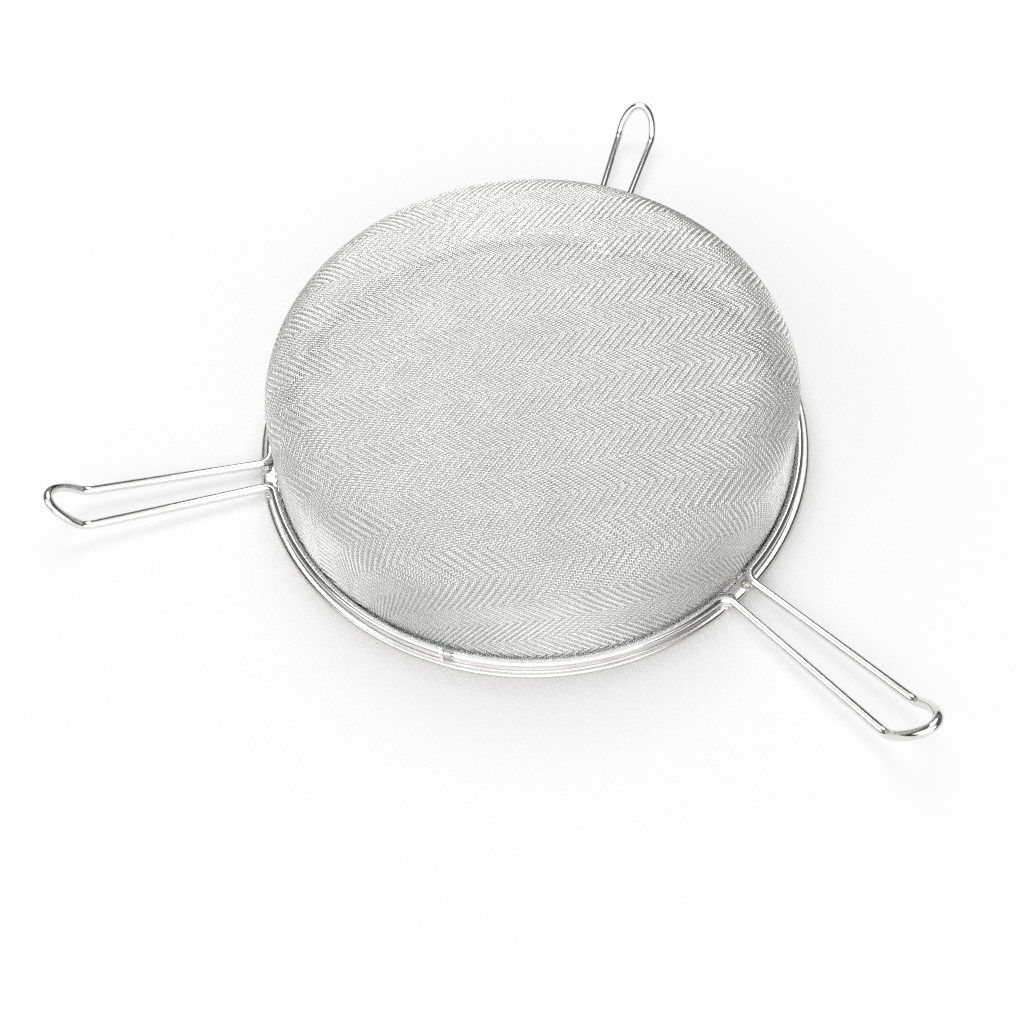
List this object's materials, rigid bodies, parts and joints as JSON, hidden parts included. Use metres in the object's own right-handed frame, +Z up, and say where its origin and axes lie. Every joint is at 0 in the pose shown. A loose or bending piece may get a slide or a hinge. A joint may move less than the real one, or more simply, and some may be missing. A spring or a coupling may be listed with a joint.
{
  "type": "mesh strainer",
  "caption": "Round flat-bottomed strainer of woven wire cloth held in a folded steel rim, shown rim down, with looped wire handles whose hooked tips rest on a pot.",
  "frame": {"origin": "on the surface that the rim stands on, under the middle of the outline's bounding box; the round rim's axis is 53.0 mm towards -X", "axes": "+Z up out of the surface, from the mouth to the basket's floor; +X from the rim's axis along the first handle; the other handles stand at 120 degrees to it"},
  "size_m": [0.406, 0.4466, 0.073],
  "materials": {
    "woven_wire": "bright drawn stainless wire in a herringbone weave",
    "rim_steel": "polished stainless strip, folded",
    "handle_steel": "polished stainless wire",
    "weld_metal": "brushed weld metal"
  },
  "bodies": {
    "root": {"rim_band": "rim_steel", "mesh_basket": "woven_wire", "handle_wire_1": "handle_steel", "handle_wire_2": "handle_steel", "handle_wire_3": "handle_steel", "leg_weld_1_left": "weld_metal", "leg_weld_1_right": "weld_metal", "leg_weld_2_left": "weld_metal", "leg_weld_2_right": "weld_metal", "leg_weld_3_left": "weld_metal", "leg_weld_3_right": "weld_metal", "wire_joint_weld_1": "weld_metal", "wire_joint_weld_2": "weld_metal", "wire_joint_weld_3": "weld_metal"}
  },
  "joints": []
}
